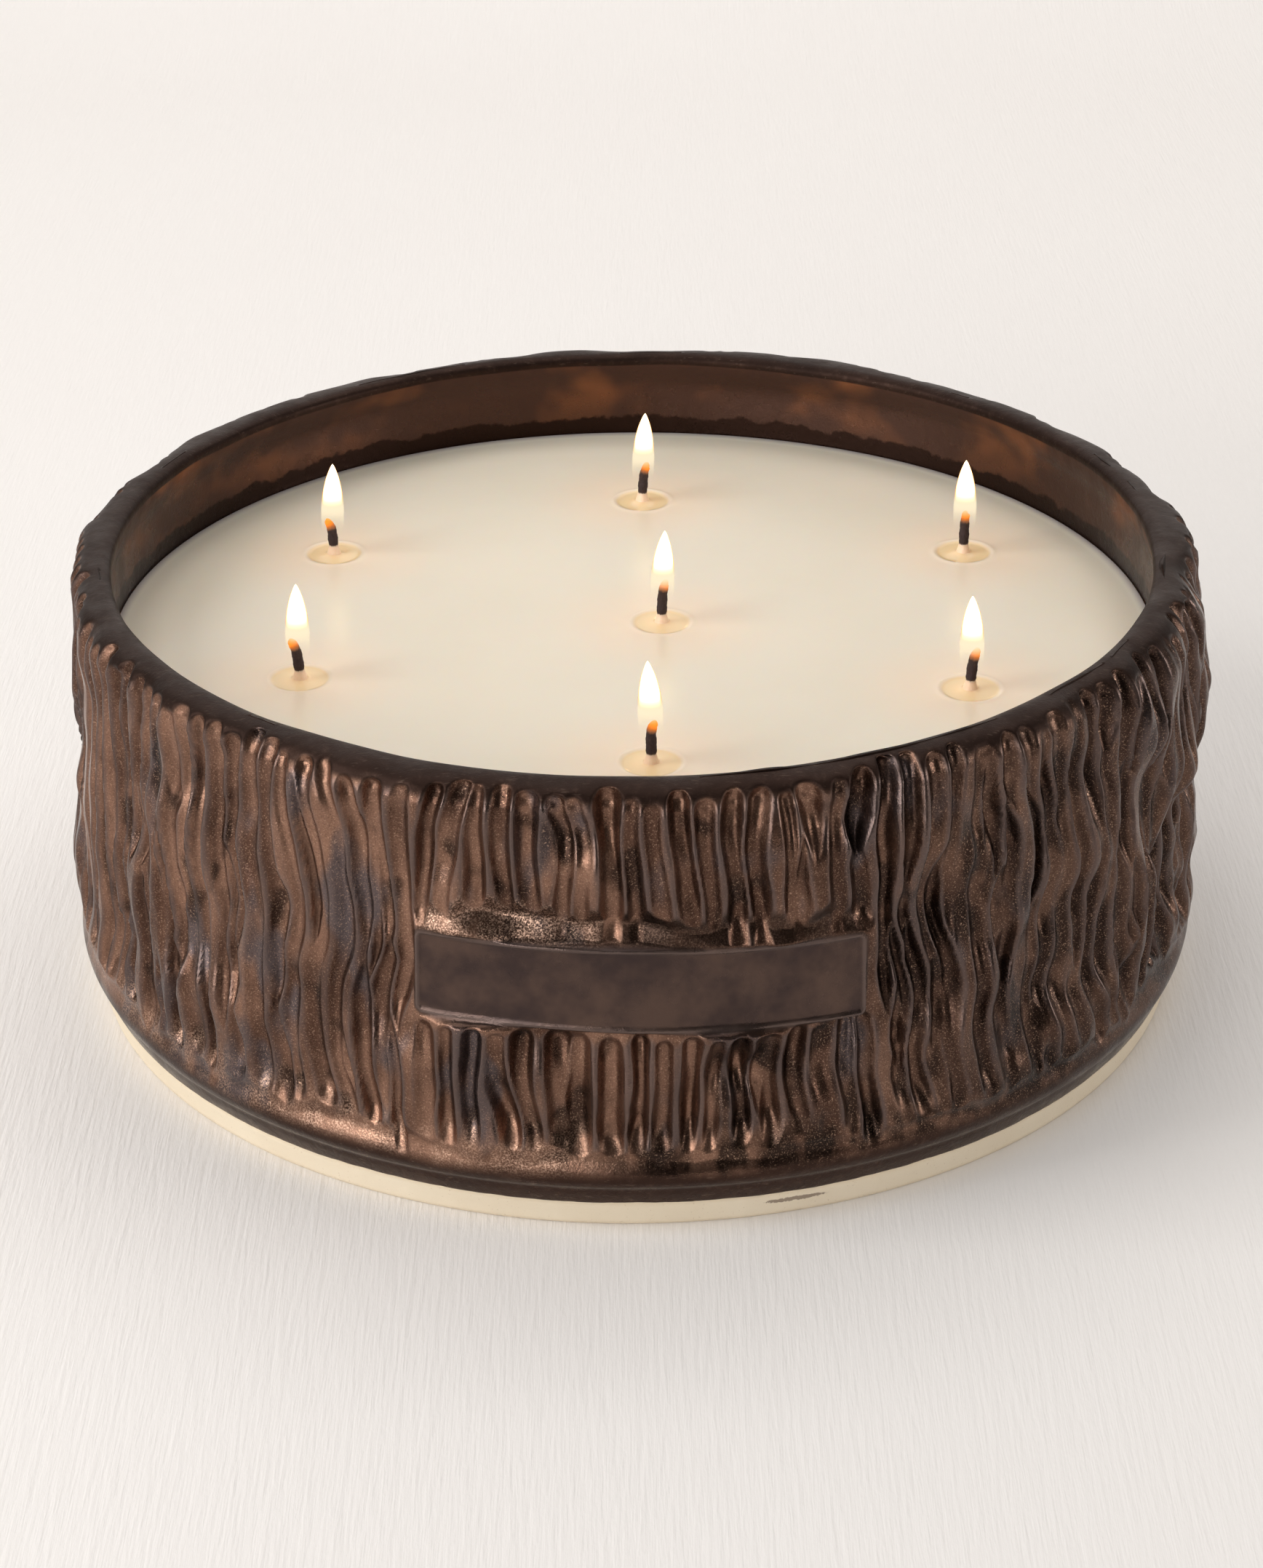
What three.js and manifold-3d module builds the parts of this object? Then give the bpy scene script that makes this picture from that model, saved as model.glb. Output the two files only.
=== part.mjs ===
// A wide stoneware bowl candle with seven wicks, burning. The bowl is glazed bronze and carries a bark
// relief round a blank plate; its base is left as bare clay. Each wick stands in a metal sustainer that a
// foam pad sticks to the bowl's floor, and the wax is cast round them.
// Millimetres, +Z up. The origin is under the middle of the base, and the plate faces -Y.
import * as THREE from "three";
import { mergeVertices } from "three/addons/utils/BufferGeometryUtils.js";
import Module from "manifold-3d";

// Bowl: its radius is that of the bark's crests where they are widest, near the base.
const bowlRadius = 167;
const rimHeight = 130;
const wallThickness = 14.5;
const floorThickness = 6;
const innerCornerRadius = 14;
const turnSegments = 60;

// Rolled lip
const lipHeight = 9;
const lipEdgeDrop = 3.5;
const lipOuterInset = 1.8;
const lipOverhang = 2;
const lipCrestWidth = 3.5;
const lipEdgeRounding = 1.2;
const lipCrown = 0.4;

// Bare clay base
const baseHeight = 7;
const baseInset = 5;
const baseChamfer = 1;
const footRingWidth = 20;
const footRecess = 3;

// Smooth glazed band between the base and the bark
const bandInset = 1.6;
const glazeEdgeInset = 4;
const bandCreaseHeight = 6.5;
const bandCreaseDepth = 0.8;
const bandHeight = 12;
const bandRounding = 1.6;

// Bark relief
const barkTaper = 4.4;
const ridgePitch = 8.4;
const ridgeDepth = 2.6;
const ridgeWander = 2.4;
const wanderLength = 130;
const depthWaveLength = 90;
const barkRows = 5;
const barkEndInset = 3.5;
const barkEndLength = 6;

// Blank plate
const plateWidth = 122;
const plateHeight = 24.5;
const plateBelowRim = 44.5;
const plateProud = 0.6;
const plateDepth = 8;
const plateSegments = 16;

// Wax
const waxBelowRim = 28;
const castClearance = 0.3;
const poolRadius = 8;
const poolDepth = 1.4;
const poolSegments = 12;

// Wicks, their sustainers and pads
const wickFromWall = 50;
const wickRadius = 1.6;
const wickTipRadius = 1.5;
const wickSides = 8;
const sustainerRadius = 10;
const sustainerThickness = 0.6;
const neckRadius = 3;
const neckHeight = 6;
const neckFlare = 1;
const fitClearance = 0.3;
const sustainerSegments = 12;
const padThickness = 1;
const padRadius = 9;

// Flames
const flameLength = 24;
const flameRadius = 3.5;
const flameTipHeight = 31;
const flameSegments = 8;

// How far a cut runs past the face that it opens
const cutRoom = 1;

// What follows from those
const barkTopRadius = bowlRadius - barkTaper;
const wallInnerRadius = bowlRadius - wallThickness;
const lipOuterRadius = barkTopRadius - lipOuterInset;
const lipInnerRadius = wallInnerRadius - lipOverhang;
const baseRadius = bowlRadius - baseInset;
const bandRadius = bowlRadius - bandInset;
const bandTop = baseHeight + bandHeight;
const floorHeight = baseHeight + floorThickness;
const waxHeight = rimHeight - waxBelowRim;
const padTop = floorHeight + padThickness;
const wickCircle = wallInnerRadius - wickFromWall;

// The wicks, set by hand: the angle from +X in degrees and the distance from the middle, the height above the
// wax, and how far the burnt tip has curled towards +X.
const wicks = [
  { place: "centre", angle: 10, distance: 8.6, height: 13.5, curl: 1.6 },
  { place: "front", angle: -87, distance: wickCircle - 12, height: 12, curl: 1.4 },
  { place: "right_front", angle: -25.5, distance: wickCircle + 3, height: 12.2, curl: 2.4 },
  { place: "right_rear", angle: 27, distance: wickCircle + 11.5, height: 13.5, curl: 0.7 },
  { place: "rear", angle: 88, distance: wickCircle - 8, height: 13, curl: 1.5 },
  { place: "left_rear", angle: 149.5, distance: wickCircle + 4, height: 11.4, curl: -2.8 },
  { place: "left_front", angle: 200.5, distance: wickCircle - 1, height: 12.4, curl: -2.7 },
];

const bronzeGlaze = new THREE.MeshStandardMaterial({ color: 0x4b3227, roughness: 0.4, metalness: 0.7 });
const bareClay = new THREE.MeshStandardMaterial({ color: 0xe6d8bc, roughness: 0.85, metalness: 0 });
const creamWax = new THREE.MeshStandardMaterial({ color: 0xede3cd, roughness: 0.35, metalness: 0 });
const charredCotton = new THREE.MeshStandardMaterial({ color: 0x241b1a, roughness: 0.95, metalness: 0 });
const tinplate = new THREE.MeshStandardMaterial({ color: 0xb9bcc0, roughness: 0.35, metalness: 1 });
const whiteFoam = new THREE.MeshStandardMaterial({ color: 0xf0f0ec, roughness: 0.9, metalness: 0 });
const flameGlow = new THREE.MeshStandardMaterial({
  color: 0xffdf9a,
  emissive: 0xffb44a,
  roughness: 1,
  metalness: 0,
});

const wasm = await Module();
wasm.setup();

// A closed geometry as a solid that can be joined and cut.
function solidOf(geometry) {
  const bare = geometry.clone();
  bare.deleteAttribute("normal");
  bare.deleteAttribute("uv");
  const merged = mergeVertices(bare, 1e-4);
  return new wasm.Manifold(
    new wasm.Mesh({
      numProp: 3,
      vertProperties: new Float32Array(merged.attributes.position.array),
      triVerts: new Uint32Array(merged.index.array),
    }),
  );
}

function geometryOf(solid) {
  const mesh = solid.getMesh();
  const geometry = new THREE.BufferGeometry();
  geometry.setAttribute("position", new THREE.BufferAttribute(mesh.vertProperties, 3));
  geometry.setIndex(new THREE.BufferAttribute(mesh.triVerts, 1));
  geometry.computeVertexNormals();
  return geometry;
}

// A profile of [radius, height] points, turned round the Z axis. It runs up the outside.
function turned(profile, segments = turnSegments) {
  const points = profile.map(([radius, height]) => new THREE.Vector2(radius, height));
  return new THREE.LatheGeometry(points, segments).rotateX(Math.PI / 2);
}

const turnedSolid = (profile, segments) => solidOf(turned(profile, segments));

// The points of an arc round [radius, height], in degrees from straight outwards.
function arc(radius, height, size, from, to, steps) {
  return Array.from({ length: steps + 1 }, (_, step) => {
    const angle = THREE.MathUtils.degToRad(from + ((to - from) * step) / steps);
    return [radius + size * Math.cos(angle), height + size * Math.sin(angle)];
  });
}

// The radius of the ridges' crests at a height.
function crestRadius(height) {
  const share = (height - bandTop) / (rimHeight - bandTop);
  return THREE.MathUtils.lerp(bowlRadius, barkTopRadius, share);
}

// A drum whose wall is the bark: every second column of vertices is a ridge, and those between are
// grooves. Both wander sideways as they climb, and the grooves run out at either end.
function barkDrum() {
  const bottom = bandTop - barkEndLength / 2;
  const top = rimHeight - lipEdgeDrop;
  const rise = top - bottom - 2 * barkEndLength;
  const heights = [bottom];
  for (let row = 0; row <= barkRows; row++) heights.push(bottom + barkEndLength + (rise * row) / barkRows);
  heights.push(top);
  const profile = [[0, bottom], ...heights.map((height) => [crestRadius(height), height]), [0, top]];
  const ridges = Math.round((2 * Math.PI * bowlRadius) / ridgePitch);
  const drum = turned(profile, 2 * ridges);
  const position = drum.attributes.position;
  for (let i = 0; i < position.count; i++) {
    const row = i % profile.length;
    if (row === 0 || row === profile.length - 1) continue;
    const column = Math.floor(i / profile.length) % (2 * ridges);
    const angle = Math.atan2(position.getY(i), position.getX(i));
    const height = position.getZ(i);
    const end = row === 1 || row === profile.length - 2;
    const depthWave = Math.sin(5 * angle + (2 * Math.PI * height) / depthWaveLength);
    const groove = column % 2 === 0 ? 0 : ridgeDepth * (1 + 0.35 * depthWave);
    const radius = crestRadius(height) - (end ? barkEndInset : groove);
    const sway = Math.sin((2 * Math.PI * height) / wanderLength + 3 * angle) + 0.5 * Math.sin(11 * angle);
    const turn = angle + (end ? 0.5 : 1) * ((ridgeWander * sway) / crestRadius(height));
    position.setXY(i, radius * Math.cos(turn), radius * Math.sin(turn));
  }
  return solidOf(drum);
}

// The rolled lip on a solid disc: a soft outer edge, and a crest towards the inside.
function lipDisc() {
  const edge = rimHeight - lipEdgeDrop;
  const crest = lipInnerRadius + lipCrestWidth;
  return turnedSolid([
    [0, rimHeight - lipHeight],
    [lipOuterRadius - lipEdgeRounding, rimHeight - lipHeight],
    [lipOuterRadius, edge],
    [lipOuterRadius - lipEdgeRounding, rimHeight - lipEdgeDrop / 2],
    [(lipOuterRadius + crest) / 2, rimHeight - lipCrown],
    [crest, rimHeight],
    [lipInnerRadius, rimHeight - lipEdgeRounding],
    [lipInnerRadius - cutRoom, edge],
    [0, edge],
  ]);
}

// The smooth band under the bark, with the crease where the wall turns in to the base.
function band() {
  return turnedSolid([
    [0, baseHeight],
    [bowlRadius - glazeEdgeInset, baseHeight],
    [bandRadius - bandCreaseDepth, baseHeight + bandCreaseHeight - bandCreaseDepth],
    [bandRadius, baseHeight + bandCreaseHeight],
    [bandRadius, bandTop - 2 * bandRounding],
    [bandRadius - bandRounding, bandTop],
    [0, bandTop],
  ]);
}

// The blank plate, a curved slab that stands a little proud of the ridges beside it.
function plate() {
  const plateBottom = rimHeight - plateBelowRim - plateHeight;
  const face = crestRadius(plateBottom + plateHeight / 2) + plateProud;
  const half = plateWidth / 2 / face;
  const front = -Math.PI / 2;
  const outline = new THREE.Shape();
  outline.absarc(0, 0, face, front - half, front + half, false);
  outline.absarc(0, 0, face - plateDepth, front + half, front - half, true);
  const slab = new THREE.ExtrudeGeometry(outline, {
    depth: plateHeight,
    curveSegments: plateSegments,
    bevelEnabled: false,
  });
  return solidOf(slab.translate(0, 0, plateBottom));
}

// The outline of the bowl's hollow up to its straight wall, drawn in by a clearance but not on its floor.
function hollowProfile(clearance) {
  const cornerCentre = wallInnerRadius - innerCornerRadius;
  const corner = arc(cornerCentre, floorHeight + innerCornerRadius, innerCornerRadius - clearance, -90, 0, 4);
  const floorEdge = clearance > 0 ? [[cornerCentre - clearance, floorHeight]] : [];
  return [[0, floorHeight], ...floorEdge, ...corner];
}

function bowl() {
  const hollow = turnedSolid([
    ...hollowProfile(0),
    [wallInnerRadius, rimHeight - lipHeight],
    [lipInnerRadius, rimHeight - lipEdgeDrop],
    [lipInnerRadius, rimHeight + cutRoom],
    [0, rimHeight + cutRoom],
  ]);
  return geometryOf(barkDrum().add(band()).add(plate()).add(lipDisc()).subtract(hollow));
}

// The unglazed base, which stands on a ring round a shallow recess.
function clayBase() {
  const ringInner = baseRadius - footRingWidth;
  return turned([
    [0, footRecess],
    [ringInner - footRecess, footRecess],
    [ringInner, 0],
    [baseRadius - baseChamfer, 0],
    [baseRadius, baseChamfer],
    [baseRadius, baseHeight],
    [0, baseHeight],
  ]);
}

// Moves a turned shape sideways above the wax, to follow the curl of a wick as far as its tip.
function curled(shape, { height, curl }) {
  const position = shape.attributes.position;
  for (let i = 0; i < position.count; i++) {
    const share = THREE.MathUtils.clamp((position.getZ(i) - waxHeight) / height, 0, 1);
    position.setX(i, position.getX(i) + curl * share * share);
  }
  return shape;
}

// A wick: a round cord that runs straight up from its pad to the wax, and curls over above it to a burnt tip.
function wickCord(wick) {
  const rows = [0.4, 0.7].map((share) => [wickRadius, waxHeight + wick.height * share]);
  const cord = turned(
    [
      [0, padTop],
      [wickRadius, padTop],
      [wickRadius, waxHeight],
      ...rows,
      [wickTipRadius, waxHeight + wick.height * 0.9],
      [wickTipRadius * 0.6, waxHeight + wick.height],
      [0, waxHeight + wick.height],
    ],
    wickSides,
  );
  return curled(cord, wick);
}

// A sustainer: a thin round foot with a neck that grips the wick.
function sustainer() {
  const bore = wickRadius + fitClearance;
  const foot = padTop + sustainerThickness;
  return turned(
    [
      [bore, padTop],
      [sustainerRadius, padTop],
      [sustainerRadius, foot],
      [neckRadius + neckFlare, foot],
      [neckRadius, foot + neckFlare],
      [neckRadius, padTop + neckHeight],
      [bore, padTop + neckHeight],
      [bore, padTop],
    ],
    sustainerSegments,
  );
}

// The room in the wax that a sustainer and its pad take.
function sustainerPocket() {
  const foot = padTop + sustainerThickness + castClearance;
  const neck = neckRadius + castClearance;
  return turnedSolid(
    [
      [0, floorHeight - cutRoom],
      [sustainerRadius + castClearance, floorHeight - cutRoom],
      [sustainerRadius + castClearance, foot],
      [neck + neckFlare, foot],
      [neck, foot + neckFlare],
      [neck, padTop + neckHeight + castClearance],
      [0, padTop + neckHeight + castClearance],
    ],
    sustainerSegments,
  );
}

function foamPad() {
  return turned(
    [
      [0, floorHeight],
      [padRadius, floorHeight],
      [padRadius, padTop],
      [0, padTop],
    ],
    sustainerSegments,
  );
}

// The shallow dish of a melt pool round a wick.
function poolDish() {
  return turnedSolid(
    [
      [0, waxHeight - poolDepth],
      [poolRadius * 0.6, waxHeight - poolDepth * 0.8],
      [poolRadius, waxHeight],
      [poolRadius, waxHeight + cutRoom],
      [0, waxHeight + cutRoom],
    ],
    poolSegments,
  );
}

// The channel a wick leaves in the wax above its sustainer.
function wickChannel() {
  const bore = wickRadius + castClearance;
  return turnedSolid(
    [
      [0, padTop],
      [bore, padTop],
      [bore, waxHeight + cutRoom],
      [0, waxHeight + cutRoom],
    ],
    wickSides,
  );
}

// Where a wick stands, on the ground plane.
function placeOf({ angle, distance }) {
  const turn = THREE.MathUtils.degToRad(angle);
  return [distance * Math.cos(turn), distance * Math.sin(turn), 0];
}

function waxFill() {
  let wax = turnedSolid([
    ...hollowProfile(castClearance),
    [wallInnerRadius - castClearance, waxHeight],
    [0, waxHeight],
  ]);
  const room = sustainerPocket().add(poolDish()).add(wickChannel());
  for (const wick of wicks) wax = wax.subtract(room.translate(placeOf(wick)));
  return geometryOf(wax);
}

// A flame: a slim drop of burning gas with the wick's tip up inside its open lower end.
function flame(wick) {
  const tip = waxHeight + flameTipHeight;
  const bore = wickRadius + fitClearance;
  const boreTop = waxHeight + wick.height + fitClearance;
  const drop = turned(
    [
      [0, boreTop],
      [bore, boreTop],
      [bore, tip - flameLength],
      [flameRadius * 0.75, tip - flameLength],
      [flameRadius, tip - flameLength * 0.75],
      [flameRadius * 0.85, tip - flameLength * 0.48],
      [flameRadius * 0.45, tip - flameLength * 0.18],
      [0, tip],
    ],
    flameSegments,
  );
  return curled(drop, wick);
}

const candle = new THREE.Group();

function addPiece(name, geometry, material, place = [0, 0, 0]) {
  const piece = new THREE.Mesh(geometry, material);
  piece.name = name;
  piece.position.set(...place);
  candle.add(piece);
}

addPiece("bowl", bowl(), bronzeGlaze);
addPiece("bare_clay_base", clayBase(), bareClay);
addPiece("wax_fill", waxFill(), creamWax);
for (const wick of wicks) {
  const place = placeOf(wick);
  addPiece(`foam_pad_${wick.place}`, foamPad(), whiteFoam, place);
  addPiece(`wick_sustainer_${wick.place}`, sustainer(), tinplate, place);
  addPiece(`wick_${wick.place}`, wickCord(wick), charredCotton, place);
  addPiece(`flame_${wick.place}`, flame(wick), flameGlow, place);
}

export default candle;
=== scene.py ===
import math
from collections import namedtuple

import bpy
import numpy as np
from mathutils import Matrix, Vector
from mathutils.geometry import delaunay_2d_cdt


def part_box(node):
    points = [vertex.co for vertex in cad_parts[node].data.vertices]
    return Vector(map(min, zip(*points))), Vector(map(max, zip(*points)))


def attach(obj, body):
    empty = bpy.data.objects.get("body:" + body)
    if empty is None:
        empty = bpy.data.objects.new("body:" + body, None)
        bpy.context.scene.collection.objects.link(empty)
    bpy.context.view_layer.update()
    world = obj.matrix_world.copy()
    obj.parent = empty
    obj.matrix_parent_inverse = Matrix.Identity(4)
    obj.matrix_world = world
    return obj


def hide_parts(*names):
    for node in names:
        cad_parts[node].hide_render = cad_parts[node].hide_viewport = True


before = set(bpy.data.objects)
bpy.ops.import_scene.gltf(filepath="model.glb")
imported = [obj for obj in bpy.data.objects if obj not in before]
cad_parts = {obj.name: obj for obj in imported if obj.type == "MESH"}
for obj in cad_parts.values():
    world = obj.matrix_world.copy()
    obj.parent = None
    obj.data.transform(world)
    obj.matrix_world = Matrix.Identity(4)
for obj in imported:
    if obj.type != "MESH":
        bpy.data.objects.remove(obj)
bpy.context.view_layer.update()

# Lengths in this script are millimetres, and MM turns them into Blender's metres. Only places in the
# materials, the lights and the camera are in metres.
MM = 0.001

PLACES = ["centre", "front", "right_front", "right_rear", "rear", "left_rear", "left_front"]


def node_box(name):
    """A CAD node's lowest and highest corners, in millimetres."""
    low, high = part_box(name)
    return np.array(low) / MM, np.array(high) / MM


# These nodes are round and centred on the Z axis, so the high corner of a box gives a radius and a top
BOWL_RADIUS, _, RIM = node_box("bowl")[1]
BASE_RADIUS, _, BASE_TOP = node_box("bare_clay_base")[1]
WAX_RADIUS, _, WAX_TOP = node_box("wax_fill")[1]
FLOOR = node_box("wax_fill")[0][2]

# The glazed wall stands just clear of the wax, so that the two surfaces are never in one place
WALL_RADIUS = WAX_RADIUS + 0.3
GIRTH = 2 * math.pi * BOWL_RADIUS

# The front of the bowl, as a share of a turn that starts at +X and runs through +Y
FRONT_TURN = 0.75

# The bark relief: the spacing of its ridges, and the heights that its flutes run between
RIDGE_PITCH = 6.9
BARK_TOP = 128.6
BARK_BOTTOM = 20.0

# How far the wall leans in between this height and the rim
BARK_TAPER = 4.4
TAPER_START = 19

# How deep a flute is cut, how far its sides climb, and how deep the crests between flutes lie
FLUTE_DEPTH = 3.9
FLUTE_RISE = 3.1
CREST_DEPTH = 1.1

# The blank plate: its middle is a little right of the front, and it hangs lower on its right
PLATE_MIDDLE = 1.5
PLATE_WIDTH = 122.0
PLATE_BOTTOM = 61.0
PLATE_TOP = 85.5
PLATE_TILT = -0.022

# Points round the bowl
COLUMNS = 2048


def wick_place(place):
    """The middle of the foam pad that a wick stands on."""
    low, high = node_box("foam_pad_" + place)
    return (low + high) / 2


# Noise and curves


def smooth(x, low, high):
    """0 at low and 1 at high, with a soft climb between."""
    t = np.clip((x - low) / (high - low), 0, 1)
    return t * t * (3 - 2 * t)


def ring_noise(turn, rise, around, up, seed):
    """Smooth noise from -1 to 1. turn goes once round in 0 to 1 and joins up; rise goes from 0 to 1."""
    values = np.random.default_rng(seed).uniform(-1, 1, (around, up + 2))
    across = (np.asarray(turn) % 1) * around
    along = np.clip(np.asarray(rise), 0, 1) * up
    i, j = across.astype(int), along.astype(int)
    s, t = smooth(across - i, 0, 1), smooth(along - j, 0, 1)
    left, right = i % around, (i + 1) % around
    low = values[left, j] * (1 - s) + values[right, j] * s
    high = values[left, j + 1] * (1 - s) + values[right, j + 1] * s
    return low * (1 - t) + high * t


def round_noise(turn, around, seed):
    """Noise that changes only round the bowl, not with the height."""
    return ring_noise(turn, 0.5, around, 1, seed)


# The bark: a field of gouged flutes

# How a flute ends: the height of its end, the length over which it runs out, how much it narrows on the way
# (below zero, it widens), and how suddenly it rises
End = namedtuple("End", "height length narrowing power")


class Relief:
    """How deep the outside of the bowl is cut at each point of a grid of turns and heights. It keeps the
    deepest and the second deepest cut, so that the ridge between two flutes can be rounded."""

    # A flute counts this far past its ends, and this many half widths to either side
    PAST_END = 2
    REACH = 1.5

    # The least share of its width that a flute narrows to, and by what power and how far its sides may climb
    NARROWEST = 0.12
    SIDE_POWER = 2.7
    MOST_RISE = 9

    # How tightly the relief turns at a ridge
    SHARPNESS = 2.6

    def __init__(self, turns, heights):
        self.turns = turns
        self.heights = heights
        shape = (len(heights), len(turns))

        # An uncut place starts above any crest
        self.first = np.full(shape, -3.0)
        self.second = np.full(shape, -6.0)

    def columns_near(self, low, high):
        """The grid's columns between two places along the girth, and where they are."""
        step = GIRTH / len(self.turns)
        index = np.arange(math.floor(low / step), math.ceil(high / step) + 1)
        return index % len(self.turns), index * step

    def flute(self, path, width, floor, tilt, low, high):
        """One gouged flute between its low and high ends. path, width and floor are functions of the height,
        and tilt makes one of its sides steeper."""
        above_low = self.heights > low.height - self.PAST_END
        below_high = self.heights < high.height + self.PAST_END
        rows = np.nonzero(above_low & below_high)[0]
        if len(rows) == 0:
            return
        z = self.heights[rows]
        above = np.clip((z - high.height) / high.length + 1, 0, None)
        below = np.clip((low.height - z) / low.length + 1, 0, None)
        share = 1 - high.narrowing * above - low.narrowing * below
        half = width(z) * np.clip(share, self.NARROWEST, None)
        deep = floor(z) - FLUTE_DEPTH * (above**high.power + below**low.power)
        middle = path(z)
        reach = self.REACH * half.max()
        columns, places = self.columns_near(middle.min() - reach, middle.max() + reach)
        across = (places[None, :] - middle[:, None]) / half[:, None]
        rise = FLUTE_RISE * np.abs(across) ** self.SIDE_POWER - tilt * across
        depth = deep[:, None] - np.minimum(rise, self.MOST_RISE)
        window = np.ix_(rows, columns)
        first, second = self.first[window], self.second[window]
        self.second[window] = np.maximum(second, np.minimum(first, depth))
        self.first[window] = np.maximum(first, depth)

    def result(self):
        """The depth, with its ridges rounded where two flutes meet and flattened where they stand apart."""
        sharp = self.SHARPNESS
        depth = self.first + np.log1p(np.exp(-sharp * (self.first - self.second))) / sharp
        turn, rise = self.turns[None, :], self.heights[:, None] / RIM
        crest = CREST_DEPTH + 0.45 * ring_noise(turn, rise, 70, 9, 25)
        return crest + np.log1p(np.exp(np.minimum(sharp * (depth - crest), 30))) / sharp


def nearby_mean(field, reach):
    """The mean over some columns to either side, round the bowl."""
    total = sum(np.roll(field, shift, axis=1) for shift in range(-reach, reach + 1))
    return total / (2 * reach + 1)


def plate_place(arc, z):
    """Where a point lies on the plate's own axes, from its middle."""
    x = arc - PLATE_MIDDLE
    y = z - (PLATE_BOTTOM + PLATE_TOP) / 2 - PLATE_TILT * x
    return x, y


def plate_edge(x, y):
    """The distance inside the plate's rounded outline, negative outside it."""
    corner = 2.5
    dx = np.abs(x) - (PLATE_WIDTH / 2 - corner)
    dy = np.abs(y) - ((PLATE_TOP - PLATE_BOTTOM) / 2 - corner)
    outside = np.hypot(np.maximum(dx, 0), np.maximum(dy, 0))
    return corner - outside - np.minimum(np.maximum(dx, dy), 0)


def bark_share(z):
    """A height as a share of the bark's own, for noise that runs along it."""
    return (z - 10) / 120


def carve_bark(relief):
    """Covers the bowl with flutes, which stop at the plate and go on below it."""
    rng = np.random.default_rng(11)
    count = round(GIRTH / RIDGE_PITCH)
    pitch = GIRTH / count
    front = FRONT_TURN * GIRTH

    def flow(place, z):
        """How far the grain leans aside. It wanders most on the right."""
        turn, rise = place / GIRTH, bark_share(z)
        wander = 1 + 0.35 * math.cos(2 * math.pi * turn)
        return wander * (3.2 * ring_noise(turn, rise, 30, 3, 21) + 1.8 * ring_noise(turn, rise, 64, 7, 22))

    def gouge(place, low, high, half, deep, sway):
        """One flute. half is half its width, deep its mean depth, and sway how far it wanders by itself."""
        seed = int(rng.integers(1 << 30))
        tilt = rng.uniform(-0.2, 0.7)
        swing = 1 + 0.3 * math.cos(2 * math.pi * place / GIRTH)

        def waves(z, knots, number):
            """Waves along the flute: knots says how many, and each number gives others."""
            return ring_noise(0.5, bark_share(z), 5, knots, seed + number)

        def path(z):
            return place + flow(place, z) + sway * waves(z, 5, 0)

        def width(z):
            return half * (1 + 0.22 * waves(z, 7, 1))

        def floor(z):
            return deep + swing * (1.6 * waves(z, 5, 2) + 1.1 * waves(z, 12, 3))

        relief.flute(path, width, floor, tilt, low, high)

    def arch(height):
        """A short round end."""
        return End(height, rng.uniform(3, 5), 0.0, 2.0)

    def run_out(height, length):
        """An end that widens as it grows shallow."""
        return End(height, length, -0.3, 1.4)

    def point(height):
        """A long pointed end."""
        return End(height, rng.uniform(10, 20), 0.8, 1.7)

    def at_plate(place):
        return abs(place - front - PLATE_MIDDLE) < PLATE_WIDTH / 2 + 1

    def spans(place):
        """The stretches that flutes run over at a place: two where the plate is between them."""
        top_height = BARK_TOP + rng.normal(0, 1.1)
        top_height += 1.6 if rng.random() < 0.2 else 0
        top = arch(top_height)
        last = run_out(BARK_BOTTOM + rng.uniform(-1.5, 4.0), rng.uniform(8, 12))
        if not at_plate(place):
            return [(last, top)]
        lean = PLATE_TILT * (place - front - PLATE_MIDDLE)
        ledge = run_out(PLATE_TOP + lean - rng.uniform(0.5, 1.5), rng.uniform(6.5, 9.5))
        return [(ledge, top), (last, arch(PLATE_BOTTOM + lean - 0.5 + rng.normal(0, 0.4)))]

    # Most long flutes are split into shorter ones, whose pointed ends pass each other
    shortest_split = 45
    split_chance = 0.62
    sway = 1.6
    for number in range(count):
        place = (number + rng.uniform(-0.12, 0.12)) * pitch
        for low, high in spans(place):
            shift = 0.0
            while high.height - low.height > shortest_split and rng.random() < split_chance:
                stop = rng.uniform(low.height + 14, high.height - 22)
                half = 0.5 * pitch * rng.uniform(0.74, 1.04)
                gouge(place + shift, point(stop), high, half, FLUTE_DEPTH + rng.uniform(-0.9, 0.7), sway)
                high = point(stop + rng.uniform(9, 17))
                shift = rng.uniform(-0.5, 0.5) * pitch

            half = 0.5 * pitch * rng.uniform(0.74, 1.04)
            gouge(place + shift, low, high, half, FLUTE_DEPTH + rng.uniform(-0.9, 0.7), sway)

    # Shorter flutes cut in between, which fork the ridges
    fork_sway = 1.8
    for _ in range(round(0.75 * count)):
        place = rng.uniform(0, GIRTH)
        length = rng.uniform(22, 60)
        top = rng.uniform(BARK_BOTTOM + 4 + length, BARK_TOP)
        if at_plate(place) and top - length < PLATE_TOP + 6 and top > PLATE_BOTTOM - 3:
            continue
        half = 0.5 * pitch * rng.uniform(0.5, 0.9)
        gouge(place, point(top - length), point(top), half, FLUTE_DEPTH + rng.uniform(-0.6, 0.8), fork_sway)


def carve_run_out(depth, turn, z):
    """Cuts the ridges' lower ends to points, where the flutes run out together above the band."""
    waver = 2.6 * round_noise(turn, 148, 81) + 1.6 * round_noise(turn, 52, 82)
    hollow = 1.4 * smooth(z, BARK_BOTTOM - 2.5, BARK_BOTTOM + 4)
    closing = 0.4 * np.clip(z - BARK_BOTTOM - 2 - waver, 0, None)
    return np.maximum(depth, CREST_DEPTH + hollow - closing)


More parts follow.
